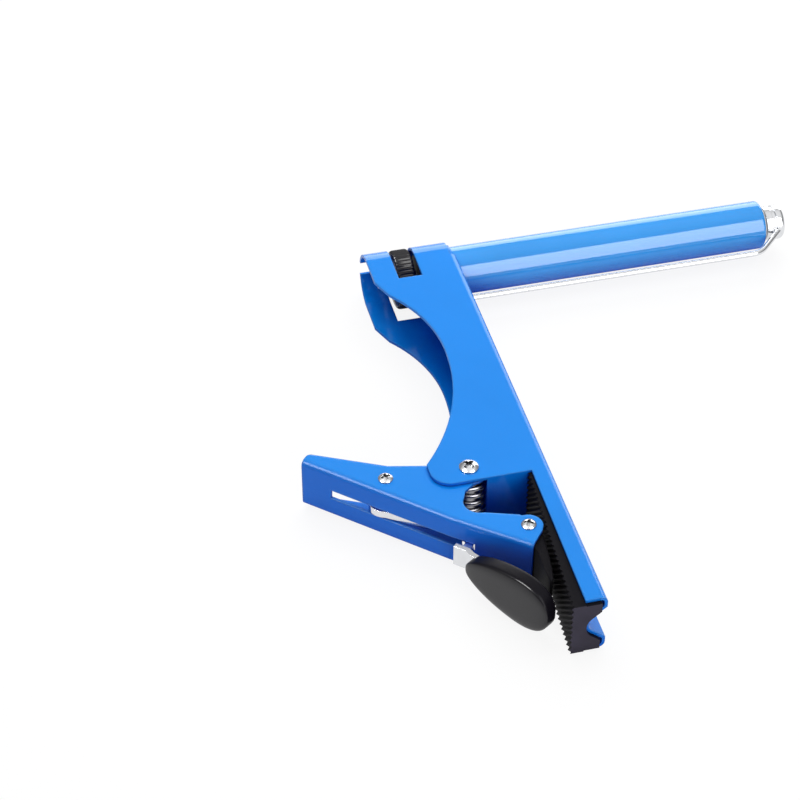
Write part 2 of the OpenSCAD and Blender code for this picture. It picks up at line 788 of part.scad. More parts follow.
module clamp_lever() {
    color(blue) difference() {
        union() {
            intersection() {
                channel(handle_slope);
                linear_extrude(body_w) intersection() {
                    cheek_outline();
                    kink_half(-1);
                }
            }
            intersection() {
                channel(jaw_slope);
                linear_extrude(body_w) intersection() {
                    cheek_outline();
                    kink_half(1);
                }
            }
        }
        translate([kink[0], kink[1], mid_z - slot_w / 2]) rotate([0, 0, -handle_slope])
            translate([slot_start - handle_len, -2 * sheet_t, 0])
                cube([handle_len - slot_start + slot_end, 5 * sheet_t, slot_w]);
        z_rod(pivot_bush_d / 2 + running_gap, pivot, -over, body_w + over);
        for (at = cross_at)
            z_rod(cross_screw_d / 2, at, -over, body_w + over);
    }
}

// Two cross screws of the lever, each with its sleeve between the cheeks and its thin nut on the far cheek
module cross_screws() {
    for (at = cross_at)
        pan_screw(at, cross_screw_d, cross_head_d, lever_z0 + lever_w, screw_end);
}

module cross_sleeves() {
    for (at = cross_at)
        sleeve(at, sleeve_d / 2, cross_screw_d / 2, lever_z0 + sheet_t, lever_z0 + lever_w - sheet_t);
}

module cross_nuts() {
    color(chrome) for (at = cross_at)
        difference() {
            translate([at[0], at[1], lever_z0 - nut_t])
                cylinder(h = nut_t, r = nut_af / 2 / cos(30), $fn = 6);
            z_rod(cross_screw_d / 2, at, -over, body_w);
        }
}

// Rubber shoe on the jaw screw, with a slightly crowned face towards the fixed pad
module moving_jaw_pad() {
    low = shoe_top - shoe_len;
    mid = (shoe_top + low) / 2;
    z0 = lever_z0 + sheet_t + face_gap;
    color(black) difference() {
        translate([0, 0, z0]) linear_extrude(lever_w - 2 * sheet_t - 2 * face_gap)
            polygon([[face_x(shoe_top) - jaw_gap - shoe_crown, shoe_top], [face_x(mid) - jaw_gap, mid],
                [face_x(low) - jaw_gap - shoe_crown, low], [face_x(low) - shoe_tail[0], low + shoe_tail[1]],
                jaw_tip + shoe_off_web, jaw_screw_at + shoe_heel, jaw_screw_at + shoe_back,
                jaw_screw_at + shoe_shoulder]);
        z_rod(sleeve_d / 2 + running_gap, jaw_screw_at, -over, body_w + over);
    }
}

// Tab that carries the grip
module lock_tab() {
    translate([0, 0, mid_z - tab_w / 2]) linear_extrude(tab_w) strip(tab_path, tab_t);
}

// Outline of the blade in the side plane: cam, arched arm and the end that meets the tab
module blade_outline() {
    shoulder = blade_half * cam_r * handle_in;
    front = in_web([blade_in_tab[1], tab_knee[1]]);
    back = in_web([blade_in_tab[0], tab_start[1]]);
    translate(cam_at) circle(r = cam_r);
    polygon(concat([cam_at + shoulder], [for (p = arm_out) in_web(p)],
        [front + blade_half * grip_in, front - blade_half * grip_in, back - blade_half * grip_in],
        [for (p = arm_in) in_web(p)], [cam_at - shoulder + tab_t * handle_dir]));
}

module lock_lever() {
    color(chrome) difference() {
        union() {
            translate([0, 0, mid_z - blade_t / 2]) linear_extrude(blade_t) blade_outline();
            lock_tab();
        }
        z_rod(sleeve_d / 2 + running_gap, rear_screw_at, -over, body_w + over);
    }
}

// Egg-shaped outline of the grip: a narrow neck that swells to a round end
module grip_outline(inset) {
    wide = grip_w / 2;
    hull() {
        translate([grip_neck_w / 2, 0]) circle(r = grip_neck_w / 2 - inset, $fn = 32);
        translate([grip_len - wide, 0]) circle(r = wide - inset, $fn = 48);
        translate([grip_len * grip_wide_from, 0]) circle(r = wide - inset, $fn = 48);
    }
}

module lock_grip() {
    color(black) difference() {
        translate([tab_at[0], tab_at[1], mid_z]) rotate([0, 0, -grip_slope]) rotate([90, 0, 0])
            translate([0, 0, grip_back - grip_t]) hull() {
                linear_extrude(grip_t) grip_outline(grip_edge);
                translate([0, 0, grip_edge]) linear_extrude(grip_t - 2 * grip_edge) grip_outline(0);
            }
        lock_tab();
    }
}

placed() body_shell();
placed() fixed_jaw_pad();
placed() post_tube();
placed() post_socket();
placed() post_lower_guide();
placed() post_end_ring();
placed() rod_bush();
placed() pivot_screw();
placed() pivot_bush();
placed() pivot_nut();
placed() torsion_spring();
placed() thumbwheel();
placed() wheel_insert();
placed() lift_screw();
placed() top_cap();
placed() net_rod();
placed() clamp_lever();
placed() cross_screws();
placed() cross_sleeves();
placed() cross_nuts();
placed() moving_jaw_pad();
placed() lock_lever();
placed() lock_grip();
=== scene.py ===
"""Looks of a sprung net clamp: paint, rubber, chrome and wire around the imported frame."""

import json
import math

import bmesh
import bpy
import numpy as np
from mathutils import Matrix, Vector


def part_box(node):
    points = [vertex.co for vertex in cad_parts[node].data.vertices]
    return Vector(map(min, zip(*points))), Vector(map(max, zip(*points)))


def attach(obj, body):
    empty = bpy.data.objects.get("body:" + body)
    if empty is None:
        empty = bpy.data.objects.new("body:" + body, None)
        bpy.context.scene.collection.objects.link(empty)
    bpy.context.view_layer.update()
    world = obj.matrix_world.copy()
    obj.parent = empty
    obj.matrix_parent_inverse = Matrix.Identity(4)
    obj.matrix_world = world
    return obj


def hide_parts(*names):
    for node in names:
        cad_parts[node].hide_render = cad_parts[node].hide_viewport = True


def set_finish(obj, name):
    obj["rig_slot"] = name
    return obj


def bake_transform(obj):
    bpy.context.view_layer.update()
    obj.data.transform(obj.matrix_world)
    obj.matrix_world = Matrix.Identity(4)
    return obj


bl_info = {
    "name": "Net clamp looks",
    "version": (1, 0, 0),
    "blender": (4, 5, 0),
    "location": "View3D > Sidebar > Net clamp",
    "description": "Builds the finishes and the fine pieces of a sprung table net clamp",
    "category": "Object",
}

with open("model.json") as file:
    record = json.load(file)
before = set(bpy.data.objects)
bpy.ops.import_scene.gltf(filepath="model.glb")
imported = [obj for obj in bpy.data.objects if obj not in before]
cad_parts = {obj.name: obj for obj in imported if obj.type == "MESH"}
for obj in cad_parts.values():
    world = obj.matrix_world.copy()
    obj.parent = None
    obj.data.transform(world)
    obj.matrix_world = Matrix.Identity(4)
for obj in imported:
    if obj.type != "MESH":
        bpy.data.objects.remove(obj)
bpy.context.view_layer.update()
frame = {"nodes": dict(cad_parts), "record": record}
JOINTS = {j["name"]: j for j in frame["record"]["behaviour"]["joints"]}
MM = 0.001
UP = (0.0, 0.0, 1.0)
JAW_END = (0.0, -1.0, 0.0)

# Soft lights: place, aim and size in metres, and whether they light surfaces or show in mirrors only.
LAMPS = {
    "key": ((0.05, 0.45, 0.70), (0.0, 0.03, 0.0), (0.9, 0.9), "surfaces"),
    "fill": ((0.05, -0.92, 0.32), (0.0, 0.0, 0.0), (0.8, 0.6), "surfaces"),
    "band": ((0.40, -0.78, 0.50), (0.06, 0.0985, 0.0125), (0.60, 1.0), "mirrors"),
    "rim": ((0.58, 1.15, 0.42), (0.0, 0.05, 0.02), (1.2, 0.75), "mirrors"),
    "left": ((-0.80, -0.26, 0.75), (-0.06, -0.06, 0.02), (0.5, 0.5), "mirrors"),
}
CAMERA_PLACE = (-0.23402, -0.63277, 0.59838)
CAMERA_AHEAD = (0.1832, 0.7336, -0.6545)
CAMERA_RIGHT = (0.9702, -0.2423, 0.0)
SENSOR_WIDTH = 36.0
FLOOR_HALF = 3.0
FLOOR_DROP = 0.05 * MM


def joint_place(name):
    """Place of a joint's axis in the row frame, as an array in metres."""
    return np.array(JOINTS[name]["pos_m"], float)


def node_box(name):
    """Lowest and highest corner of a CAD node, as two arrays in metres."""
    low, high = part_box(name)
    return np.array(low), np.array(high)


PIVOT = joint_place("lever_pivot")
JAW_SCREW = joint_place("shoe_swivel")
REAR_SCREW = joint_place("lock_swing")
WHEEL = joint_place("wheel_turn")
MID_Z = PIVOT[2]
POST_Y = WHEEL[1]


class ClampFinish(bpy.types.PropertyGroup):
    """Colours and finishes of the clamp."""

    paint: bpy.props.FloatVectorProperty(
        name="Paint", description="Colour of the blue enamel", subtype="COLOR", size=3,
        default=(0.002, 0.285, 0.96), min=0, max=1)
    # Painted highlight: a lighter colour mixed in along the sheet's eased edges.
    painted_edge_highlight: bpy.props.FloatVectorProperty(
        name="Painted edge highlight", description="Lighter colour painted along edges as a highlight",
        subtype="COLOR", size=3, default=(0.22, 0.58, 1.0), min=0, max=1)
    # Painted shade: the darker colour laid in recesses and on faces square to the side plates.
    painted_shade: bpy.props.FloatVectorProperty(
        name="Painted shade", description="Darker colour painted as shade in recesses and on faces square to the side plates", subtype="COLOR", size=3,
        default=(0.0005, 0.06, 0.52), min=0, max=1)
    rubber: bpy.props.FloatVectorProperty(
        name="Rubber", description="Colour of the jaw pads", subtype="COLOR", size=3,
        default=(0.0245, 0.0222, 0.0325), min=0, max=1)
    plastic: bpy.props.FloatVectorProperty(
        name="Black plastic", description="Colour of the grip and the thumbwheel", subtype="COLOR", size=3,
        default=(0.0042, 0.0037, 0.0060), min=0, max=1)
    chrome: bpy.props.FloatVectorProperty(
        name="Chrome", description="Colour of the bright metal", subtype="COLOR", size=3,
        default=(0.80, 0.81, 0.83), min=0, max=1)
    spring_steel: bpy.props.FloatVectorProperty(
        name="Spring steel", description="Colour of the oiled spring wire", subtype="COLOR", size=3,
        default=(0.20, 0.20, 0.215), min=0, max=1)


class ClampSizes(bpy.types.PropertyGroup):
    """Sizes of the fine pieces."""

    wire_radius: bpy.props.FloatProperty(
        name="Spring wire radius", description="Half the spring wire's thickness",
        unit="LENGTH", default=1.0 * MM)
    coil_radius: bpy.props.FloatProperty(
        name="Coil radius", description="Mean radius of the spring's coil", unit="LENGTH", default=6.0 * MM)
    coil_pitch: bpy.props.FloatProperty(
        name="Coil pitch", description="Distance between turns", unit="LENGTH", default=3.7 * MM)
    rib_pitch: bpy.props.FloatProperty(
        name="Rib pitch", description="Distance between ribs of the fixed pad",
        unit="LENGTH", default=1.8 * MM)
    rib_depth: bpy.props.FloatProperty(
        name="Rib depth", description="Depth between ribs of the fixed pad",
        unit="LENGTH", default=0.8 * MM)
    grip_length: bpy.props.FloatProperty(
        name="Grip length", description="Length of the egg-shaped grip", unit="LENGTH", default=38.8 * MM)
    grip_width: bpy.props.FloatProperty(
        name="Grip width", description="Width that the grip's egg shape is scaled from",
        unit="LENGTH", default=25.0 * MM)
    grip_thickness: bpy.props.FloatProperty(
        name="Grip thickness", description="Thickness of the grip", unit="LENGTH", default=7.0 * MM)
    wheel_ridges: bpy.props.IntProperty(
        name="Wheel ridges", description="Ridges round the thumbwheel", default=44, min=12, max=80)


class ClampStage(bpy.types.PropertyGroup):
    """Floor, light and camera."""

    floor: bpy.props.FloatVectorProperty(
        name="Floor", description="Colour of the studio floor", subtype="COLOR", size=3,
        default=(0.84, 0.84, 0.85), min=0, max=1)
    lens: bpy.props.FloatProperty(
        name="Lens", description="Focal length on a 36 mm sensor", default=102.7)
    key_power: bpy.props.FloatProperty(
        name="Key light", description="Power of the soft light behind and above",
        unit="POWER", default=5.9)
    band_power: bpy.props.FloatProperty(
        name="Band light", description="Power of the soft light that draws a pale band along the post",
        unit="POWER", default=9.0)
    left_power: bpy.props.FloatProperty(
        name="Left light", description="Power of the soft light that glints along the lever's bends",
        unit="POWER", default=12.0)
    rim_power: bpy.props.FloatProperty(
        name="Rim light", description="Power of the low light behind that draws the edges",
        unit="POWER", default=9.0)
    fill_power: bpy.props.FloatProperty(
        name="Fill light", description="Power of the soft light in front", unit="POWER", default=3.6)
    sky: bpy.props.FloatProperty(
        name="Sky", description="Brightness of the even studio light", default=0.38)


class Value:
    """One number over a surface; arithmetic on it adds Math nodes."""

    def __init__(self, shader, socket):
        self.shader = shader
        self.socket = socket

    def _math(self, operation, first, second):
        node = self.shader.node("ShaderNodeMath", {"operation": operation}, {0: first, 1: second})
        return Value(self.shader, node.outputs[0])

    def __add__(self, other):
        return self._math("ADD", self, other)

    def __radd__(self, other):
        return self._math("ADD", other, self)

    def __sub__(self, other):
        return self._math("SUBTRACT", self, other)

    def __rsub__(self, other):
        return self._math("SUBTRACT", other, self)

    def __mul__(self, other):
        return self._math("MULTIPLY", self, other)

    def __rmul__(self, other):
        return self._math("MULTIPLY", other, self)

    def clamped(self):
        node = self.shader.node("ShaderNodeClamp", {}, {0: self})
        return Value(self.shader, node.outputs[0])


class Shader:
    """The nodes of a new material, or of another block that has nodes."""

    def __init__(self, name, block=None, output="ShaderNodeOutputMaterial"):
        self.material = block or bpy.data.materials.new(name)
        self.material.use_nodes = True
        self.tree = self.material.node_tree
        self.tree.nodes.clear()
        self.out = self.node(output)

    def node(self, kind, settings=None, sockets=None):
        """Adds a node: its settings first, then the values or links of its sockets."""
        node = self.tree.nodes.new(kind)
        for key, value in (settings or {}).items():
            setattr(node, key, value)
        for key, value in (sockets or {}).items():
            if isinstance(value, Value):
                self.tree.links.new(value.socket, node.inputs[key])
            elif isinstance(value, bpy.types.NodeSocket):
                self.tree.links.new(value, node.inputs[key])
            else:
                node.inputs[key].default_value = value
        return node

    def place(self):
        """Object coordinates of the piece."""
        return self.node("ShaderNodeTexCoord").outputs["Object"]

    def noise(self, scale, detail=2.0, roughness=0.5, stretch=None):
        """Noise between 0 and 1 at a number of cells per metre, stretched along an axis if asked."""
        vector = self.place()
        if stretch:
            vector = self.node("ShaderNodeMapping", {}, {"Vector": vector, "Scale": stretch}).outputs[0]
        node = self.node("ShaderNodeTexNoise", {}, {
            "Vector": vector, "Scale": scale, "Detail": detail, "Roughness": roughness})
        return Value(self, node.outputs["Fac"])

    def mix(self, factor, first, second):
        """A colour between two colours."""
        node = self.node("ShaderNodeMix", {"data_type": "RGBA"}, {0: factor, 6: first, 7: second})
        return node.outputs[2]

    def open_air(self, reach):
        """1 where the surface is open and 0 deep in a recess, felt over a reach."""
        shut, gain = 0.24, 2.4
        node = self.node("ShaderNodeAmbientOcclusion", {"samples": 8}, {"Distance": reach})
        return ((Value(self, node.outputs["AO"]) - shut) * gain).clamped()

    def facing(self, way):
        """1 where the piece's own normal points one way, 0 square to it, -1 opposite."""
        normal = self.node("ShaderNodeTexCoord").outputs["Normal"]
        node = self.node("ShaderNodeVectorMath", {"operation": "DOT_PRODUCT"}, {0: normal, 1: way})
        return Value(self, node.outputs["Value"])

    def rounded(self, radius):
        """Normal with the piece's edges eased by a small radius."""
        return self.node("ShaderNodeBevel", {"samples": 6}, {"Radius": radius}).outputs[0]

    def edge(self, rounded):
        """About 1 on an eased edge and 0 on the flat."""
        gain = 5.0
        true = self.node("ShaderNodeNewGeometry").outputs["Normal"]
        dot = self.node("ShaderNodeVectorMath", {"operation": "DOT_PRODUCT"}, {0: rounded, 1: true})
        return ((1 - Value(self, dot.outputs["Value"])) * gain).clamped()

    def bump(self, height, distance, normal=None):
        """Normal with a height laid over it."""
        sockets = {"Strength": 1.0, "Distance": distance, "Height": height}
        if normal is not None:
            sockets["Normal"] = normal
        return self.node("ShaderNodeBump", {}, sockets).outputs[0]

    def finish(self, sockets):
        """Ends the material in one Principled shader."""
        node = self.node("ShaderNodeBsdfPrincipled", {}, sockets)
        self.tree.links.new(node.outputs[0], self.out.inputs["Surface"])
        return self.material


def colour(values, share=1.0):
    """A colour with full alpha, or a share of it."""
    return (*(share * c for c in values), 1.0)


def enamel(name, finish, gloss, coat_ior, wall=0.0, tint=1.0, sheen=0.02):
    """Gloss enamel on sheet: fine orange peel, a slow drift of depth, and a painted highlight on edges.

    It has painted shade and less coat in recesses, and by the share wall painted shade and less coat also on
    faces square to the side plates.
    """
    edge_radius, recess_reach, peel_height = 1.2 * MM, 28 * MM, 0.010 * MM
    low_share, wall_shade_share, edge_highlight_share, dull_share = 0.86, 0.6, 0.15, 0.93
    s = Shader(name)
    eased = s.rounded(edge_radius)
    drift = s.noise(28.0, 3.0)
    peel = s.noise(900.0, 2.0)
    dust = s.noise(2600.0, 3.0, 0.6)
    plate = s.facing(UP)
    standing = (1 - plate * plate) * wall
    open_air = s.open_air(recess_reach)
    paint = (finish.paint[0], finish.paint[1] * tint, finish.paint[2])
    base = s.mix(drift, colour(paint, low_share), colour(paint))
    # Painted shade on faces square to the side plates.
    base = s.mix(standing * wall_shade_share, base, colour(finish.painted_shade))
    # Painted highlight: the edges are mixed towards a lighter colour.
    base = s.mix(s.edge(eased) * edge_highlight_share, base, colour(finish.painted_edge_highlight))
    # Painted shade: the colour goes darker deep in recesses.
    base = s.mix(open_air, colour(finish.painted_shade), base)
    return s.finish({
        "Base Color": base, "Roughness": 0.20 + drift * 0.05 + dust * 0.04 + (1 - open_air) * 0.6,
        "Specular IOR Level": sheen,
        "Coat Weight": (gloss + peel * 0.06) * open_air * (1 - standing * dull_share), "Coat Roughness": 0.09,
        "Coat IOR": coat_ior, "Normal": s.bump(peel, peel_height, eased)})


def rubber(name, finish, lit_end=None):
    """Moulded rubber: a dull dark skin with a fine grain and a dusty bloom.

    It has painted shade deep in recesses, and, if asked, a painted lighter colour on the faces that point one
    given way, as where light falls.
    """
    edge_radius, recess_reach, grain_height = 0.15 * MM, 14 * MM, 0.03 * MM
    pale, skin, dusty, dark = 3.2, 0.13, 0.36, 0.06
    s = Shader(name)
    grain = s.noise(3200.0, 3.0, 0.6)
    bloom = s.noise(70.0, 4.0, 0.6)
    base = s.mix(bloom * 0.6, colour(finish.rubber, skin), colour(finish.rubber, dusty))
    # Painted light: faces that point the asked way get a paler colour.
    if lit_end is not None:
        cut = s.mix(bloom * 0.6, colour(finish.rubber), colour(finish.rubber, pale))
        base = s.mix(((s.facing(lit_end) - 0.5) * 4.0).clamped(), base, cut)
    # Painted shade: the colour goes darker deep in recesses.
    return s.finish({
        "Base Color": s.mix(s.open_air(recess_reach), colour(finish.rubber, dark), base),
        "Roughness": 0.52 + bloom * 0.2, "Specular IOR Level": 0.07,
        "Normal": s.bump(grain, grain_height, s.rounded(edge_radius))})


def moulded(name, finish, roughness, coat, face=None):
    """Black moulded plastic with a faint flow in its gloss, polished only on one face if asked."""
    edge_radius, grain_height = 0.25 * MM, 0.008 * MM
    s = Shader(name)
    flow = s.noise(55.0, 3.0, 0.55)
    grain = s.noise(2400.0, 2.0)
    gloss = coat + flow * 0.05
    if face is not None:
        gloss = gloss * ((s.facing(face) - 0.35) * 3.0).clamped()
    return s.finish({
        "Base Color": s.mix(flow * 0.7, colour(finish.plastic), colour(finish.plastic, 2.0)),
        "Roughness": roughness + flow * 0.08 + grain * 0.03, "Specular IOR Level": 0.10,
        "Coat Weight": gloss, "Coat Roughness": 0.12,
        "Normal": s.bump(grain, grain_height, s.rounded(edge_radius))})


def bright_metal(name, finish, roughness, stretch=None, recess=None):
    """Plated metal: a mirror with polishing marks and a little haze, with painted shade in recesses of a
    reach if asked.
    """
    edge_radius, mark_height = 0.2 * MM, 0.006 * MM
    dim, dark = 0.82, 0.12
    s = Shader(name)
    haze = s.noise(120.0, 4.0, 0.6)
    marks = s.noise(1400.0, 2.0, 0.6, stretch)
    base = s.mix(haze, colour(finish.chrome, dim), colour(finish.chrome))
    # Painted shade: the chrome goes darker deep in recesses.
    if recess:
        base = s.mix(s.open_air(recess), colour(finish.chrome, dark), base)
    return s.finish({
        "Base Color": base, "Metallic": 1.0, "Roughness": roughness + haze * 0.07 + marks * 0.05,
        "Normal": s.bump(marks, mark_height, s.rounded(edge_radius))})


def oiled_steel(name, shade, roughness=0.24):
    """Dark oiled steel with drawing marks."""
    s = Shader(name)
    stain = s.noise(240.0, 4.0, 0.6)
    marks = s.noise(1600.0, 2.0)
    return s.finish({
        "Base Color": s.mix(stain, colour(shade), colour(shade, 1.9)), "Metallic": 1.0,
        "Roughness": roughness + stain * 0.14 + marks * 0.05, "Normal": s.bump(marks, 0.01 * MM)})


def turned_brass(name):
    """Brass with turning rings along the post."""
    s = Shader(name)
    rings = s.noise(900.0, 2.0, 0.5, (1.0, 0.05, 0.05))
    return s.finish({
        "Base Color": s.mix(rings, (0.40, 0.27, 0.08, 1), (0.62, 0.45, 0.17, 1)), "Metallic": 1.0,
        "Roughness": 0.26 + rings * 0.1, "Normal": s.bump(rings, 0.01 * MM)})


def pale_plastic(name):
    """Natural moulded plastic of the guide in the tube's end."""
    s = Shader(name)
    flow = s.noise(160.0, 3.0)
    return s.finish({
        "Base Color": s.mix(flow, (0.55, 0.56, 0.57, 1), (0.72, 0.72, 0.71, 1)),
        "Roughness": 0.35 + flow * 0.1,
        "Normal": s.bump(flow, 0.01 * MM, s.rounded(0.2 * MM))})


def seen_by_eye(shader):
    """1 for camera, mirror and glass rays, 0 for the light that falls on things."""
    path = shader.node("ShaderNodeLightPath").outputs
    seen = Value(shader, path["Is Camera Ray"]) + Value(shader, path["Is Glossy Ray"])
    return (seen + Value(shader, path["Is Transmission Ray"])).clamped()


def studio_floor(name, shade):
    """Pale floor: white to camera and mirror rays, with the object's soft shadow left in it."""
    dim, glow_strength, glow_share = 0.985, 1.05, 0.84
    s = Shader(name)
    mottle = s.noise(3.0, 2.0)
    diffuse = s.node("ShaderNodeBsdfDiffuse", {}, {"Color": s.mix(mottle, colour(shade, dim), colour(shade))})
    glow = s.node("ShaderNodeEmission", {}, {"Color": (1, 1, 1, 1), "Strength": glow_strength})
    both = s.node("ShaderNodeMixShader", {}, {
        0: seen_by_eye(s) * glow_share, 1: diffuse.outputs[0], 2: glow.outputs[0]})
    s.tree.links.new(both.outputs[0], s.out.inputs["Surface"])
    return s.material


def studio_sky(name, strength):
    """White overhead and grey towards the horizon in mirrors, and an even dim light on everything."""
    horizon, gain, low, rise = 0.40, 2.0, 0.26, 0.74
    s = Shader(name, bpy.data.worlds.new(name), "ShaderNodeOutputWorld")
    way = s.node("ShaderNodeSeparateXYZ", {}, {0: s.node("ShaderNodeTexCoord").outputs["Generated"]})
    overhead = ((Value(s, way.outputs["Z"]) - horizon) * gain).clamped()
    level = strength + seen_by_eye(s) * (low + overhead * rise - strength)
    sky = s.node("ShaderNodeBackground", {}, {"Color": (1, 1, 1, 1), "Strength": level})
    s.tree.links.new(sky.outputs[0], s.out.inputs["Surface"])
    return s.material


def dress(node, material):
    """Gives a CAD node's object one material."""
    obj = frame["nodes"][node]
    obj.data.materials.clear()
    obj.data.materials.append(material)


def grid_faces(rows, columns, wrap):
    """Quads of a grid of rows by columns, wrapped round its columns if asked, as rows of four indices."""
    r = np.arange(rows - 1)[:, None]
    c = np.arange(columns if wrap else columns - 1)[None, :]
    n = (c + 1) % columns
    low, high = r * columns, (r + 1) * columns
    quads = np.stack(np.broadcast_arrays(low + c, low + n, high + n, high + c))
    return quads.reshape(4, -1).T


def make_piece(name, points, faces, material, body, slot, replaced=(), smooth=True, angle=None):
    """Puts points and faces into a mesh object at the origin that rides on a body."""
    mesh = bpy.data.meshes.new(name)
    mesh.from_pydata(np.asarray(points).reshape(-1, 3).tolist(), [], [list(map(int, f)) for f in faces])
    mesh.materials.append(material)
    mesh.validate()
    mesh.polygons.foreach_set("use_smooth", np.full(len(mesh.polygons), smooth))
    if angle is not None:
        mesh.set_sharp_from_angle(angle=math.radians(angle))
    mesh.update()
    obj = bpy.data.objects.new(name, mesh)
    bpy.context.scene.collection.objects.link(obj)
    if body:
        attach(obj, body)
    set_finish(obj, slot)
    if replaced:
        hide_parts(*replaced)
    return obj


def swept_tube(path, radius, sides):
    """Tube: a circle carried square along a path that lies near the XY plane, closed by a flat at each end.

    At each path point the circle is spanned by the path's level normal and the cross of tangent and normal.
    """
    path = np.asarray(path, float)
    tangent = np.gradient(path, axis=0)
    tangent /= np.linalg.norm(tangent, axis=1, keepdims=True)
    side = np.cross(tangent, [0.0, 0.0, 1.0])
    side /= np.linalg.norm(side, axis=1, keepdims=True)
    rise = np.cross(side, tangent)
    turn = np.linspace(0, 2 * np.pi, sides, endpoint=False)
    ring = np.cos(turn)[None, :, None] * side[:, None] + np.sin(turn)[None, :, None] * rise[:, None]
    points = (path[:, None] + radius * ring).reshape(-1, 3)
    faces = grid_faces(len(path), sides, True).tolist()
    last = (len(path) - 1) * sides
    faces.append(list(range(sides))[::-1])
    faces.append(list(range(last, last + sides)))
    return points, faces


def turned(profile, segments, axis="x", centre=(0, 0, 0)):
    """Solid of revolution: a profile of (along, radius) carried round an axis through a centre.

    Where the profile starts or ends on the axis, its ring closes on one point.
    """
    profile = np.asarray(profile, float)
    turn = np.linspace(0, 2 * np.pi, segments, endpoint=False)
    along = np.repeat(profile[:, :1], segments, 1)
    a = profile[:, 1:] * np.cos(turn)
    b = profile[:, 1:] * np.sin(turn)
    order = {"x": (along, a, b), "z": (a, b, along)}[axis]
    points = np.stack(order, -1).reshape(-1, 3) + np.asarray(centre)
    return points, grid_faces(len(profile), segments, True).tolist()


def closed_turn(profile, segments, axis, centre):
    """A ring of revolution whose profile is a closed loop, so it has a bore."""
    loop = np.vstack([profile, profile[:1]])
    points, faces = turned(loop, segments, axis, centre)
    count = len(profile) * segments
    faces = [[i % count for i in f] for f in faces]
    return points[:count], faces


def arc_points(centre, radius, start, stop, steps):
    """Points of an arc in the plane, by angle in degrees."""
    a = np.radians(np.linspace(start, stop, steps))
    return np.stack([centre[0] + radius * np.cos(a), centre[1] + radius * np.sin(a)], 1)


def softened(shape, rounds):
    """A closed outline with its corners cut again and again, so that it turns smooth."""
    near, far = 0.75, 0.25
    for _ in range(rounds):
        ahead = np.roll(shape, -1, 0)
        shape = np.stack([near * shape + far * ahead, far * shape + near * ahead], 1).reshape(-1, 2)
    return shape


def turn_outwards(obj, join_poles=False):
    """Turns a closed mesh's faces outwards, after joining the points that meet at a pole if asked."""
    same_place = 1e-6
    work = bmesh.new()
    work.from_mesh(obj.data)
    if join_poles:
        bmesh.ops.remove_doubles(work, verts=work.verts, dist=same_place)
    bmesh.ops.recalc_face_normals(work, faces=work.faces)
    work.to_mesh(obj.data)
    work.free()
    obj.data.update()


class CLAMP_OT_stage(bpy.types.Operator):
    """Floor, soft lights and the camera at the photograph's angle."""

    bl_idname = "clamp.stage"
    bl_label = "Stage"

    def execute(self, context):
        stage = context.scene.clamp_stage
        scene = context.scene
        scene.view_settings.view_transform = "Standard"
        corners = [(x, y, -FLOOR_DROP) for x, y in ((-1, -1), (1, -1), (1, 1), (-1, 1))]
        corners = np.array(corners) * (FLOOR_HALF, FLOOR_HALF, 1.0)
        floor = make_piece("studio_floor", corners, [[0, 1, 2, 3]], studio_floor("studio_floor", stage.floor),
                           None, "floor", smooth=False)
        del floor["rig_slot"]
        scene.world = studio_sky("studio_sky", stage.sky)
        for name, (place, aim, size, lights) in LAMPS.items():
            lamp = self.lamp(name, place, aim, size, getattr(stage, name + "_power"))
            lamp.visible_glossy = lights == "mirrors"
            lamp.visible_diffuse = lights == "surfaces"
        camera = bpy.data.cameras.new("camera")
        camera.lens = stage.lens
        camera.sensor_fit = "HORIZONTAL"
        camera.sensor_width = SENSOR_WIDTH
        obj = bpy.data.objects.new("camera", camera)
        scene.collection.objects.link(obj)
        ahead = Vector(CAMERA_AHEAD).normalized()
        right = Vector(CAMERA_RIGHT).normalized()
        up = right.cross(ahead)
        turn = Matrix((right, up, -ahead)).transposed().to_4x4()
        obj.matrix_world = Matrix.Translation(CAMERA_PLACE) @ turn
        scene.camera = obj
        return {"FINISHED"}

    def lamp(self, name, place, aim, size, power):
        """A soft light of a width and a height that faces a point."""
        light = bpy.data.lights.new(name, "AREA")
        light.shape = "RECTANGLE"
        light.size, light.size_y = size
        light.energy = power
        obj = bpy.data.objects.new(name, light)
        bpy.context.scene.collection.objects.link(obj)
        obj.location = place
        obj.rotation_euler = (Vector(aim) - Vector(place)).to_track_quat("-Z", "Y").to_euler()
        return obj


class CLAMP_OT_sheet(bpy.types.Operator):
    """Enamel on the folded body, the lever and the post's socket."""

    bl_idname = "clamp.sheet"
    bl_label = "Painted sheet"

    def execute(self, context):
        finish = context.scene.clamp_finish
        paint = enamel("blue_enamel", finish, gloss=0.7, coat_ior=1.5, wall=0.6)
        for node in ("body_shell", "post_socket"):
            dress(node, paint)
        lever_paint = enamel("lever_enamel", finish, gloss=0.12, coat_ior=1.5, wall=1.0, sheen=0.2)
        dress("clamp_lever", lever_paint)
        return {"FINISHED"}


